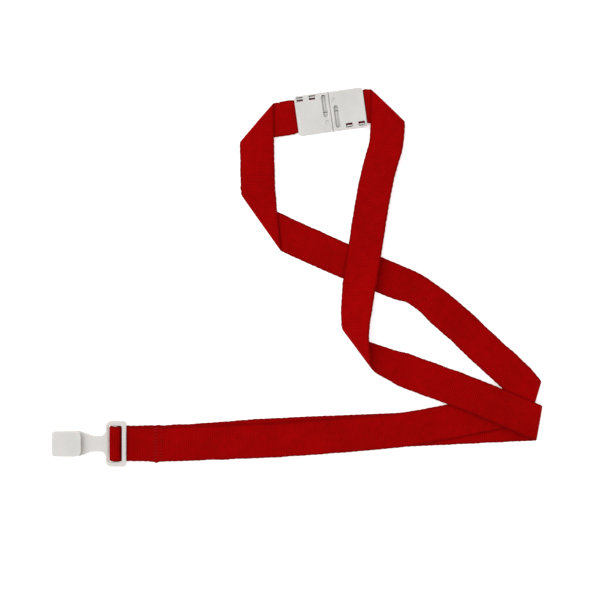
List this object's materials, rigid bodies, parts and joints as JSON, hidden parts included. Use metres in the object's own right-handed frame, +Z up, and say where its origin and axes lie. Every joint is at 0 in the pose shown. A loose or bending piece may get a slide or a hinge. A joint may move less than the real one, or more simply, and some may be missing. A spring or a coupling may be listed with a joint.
{
  "type": "neck lanyard",
  "caption": "Flat woven neck lanyard, folded on a table, with a two-part breakaway buckle and a wide plastic badge hook at its end.",
  "frame": {"origin": "middle of the folded lanyard's outline, on the table that it lies on", "axes": "+X to the right along the double run, from the hook to the folded end, +Y towards the buckle, +Z up from the table"},
  "size_m": [0.2276, 0.1755, 0.0083],
  "materials": {
    "webbing": "woven, matt",
    "thread": "satin",
    "plastic": "satin"
  },
  "bodies": {
    "strap": {"strap_lower_run": "webbing", "strap_lower_end_fold": "webbing", "strap_lower_return": "webbing", "strap_lower_turn": "webbing", "strap_upper_run": "webbing", "strap_upper_end_fold": "webbing", "strap_upper_return": "webbing", "strap_left_turn": "webbing", "strap_left_neck": "webbing", "strap_left_corner": "webbing", "strap_left_tail": "webbing", "seam_needle_thread": "thread", "seam_bobbin_thread": "thread", "buckle_housing_left": "plastic"},
    "right_half": {"buckle_housing_right": "plastic", "strap_right_tail": "webbing", "strap_right_corner": "webbing", "strap_right_neck": "webbing"},
    "left_cover": {"clamp_cover_left": "plastic"},
    "right_cover": {"clamp_cover_right": "plastic"},
    "hook": {"hook": "plastic", "strap_hook_loop": "webbing"}
  },
  "joints": [
    {"name": "buckle_pull", "type": "slide", "parent": "strap", "child": "right_half", "axis": [0.9905, 0.1374, 0], "range_m": [0, 0.012], "deforming": ["strap_right_neck"]},
    {"name": "hook_swing", "type": "hinge", "parent": "strap", "child": "hook", "pos_m": [-0.0775, -0.07705, 0.00115], "axis": [0, 1, 0], "range_deg": [-90, 90], "deforming": ["strap_hook_loop"]},
    {"name": "left_cover_hinge", "type": "hinge", "parent": "strap", "child": "left_cover", "pos_m": [0.01706, 0.06759, 0.00135], "axis": [-0.9905, -0.1374, 0], "range_deg": [0, 150]},
    {"name": "right_cover_hinge", "type": "hinge", "parent": "right_half", "child": "right_cover", "pos_m": [0.01454, 0.08581, 0.00135], "axis": [0.9905, 0.1374, 0], "range_deg": [0, 150]}
  ]
}
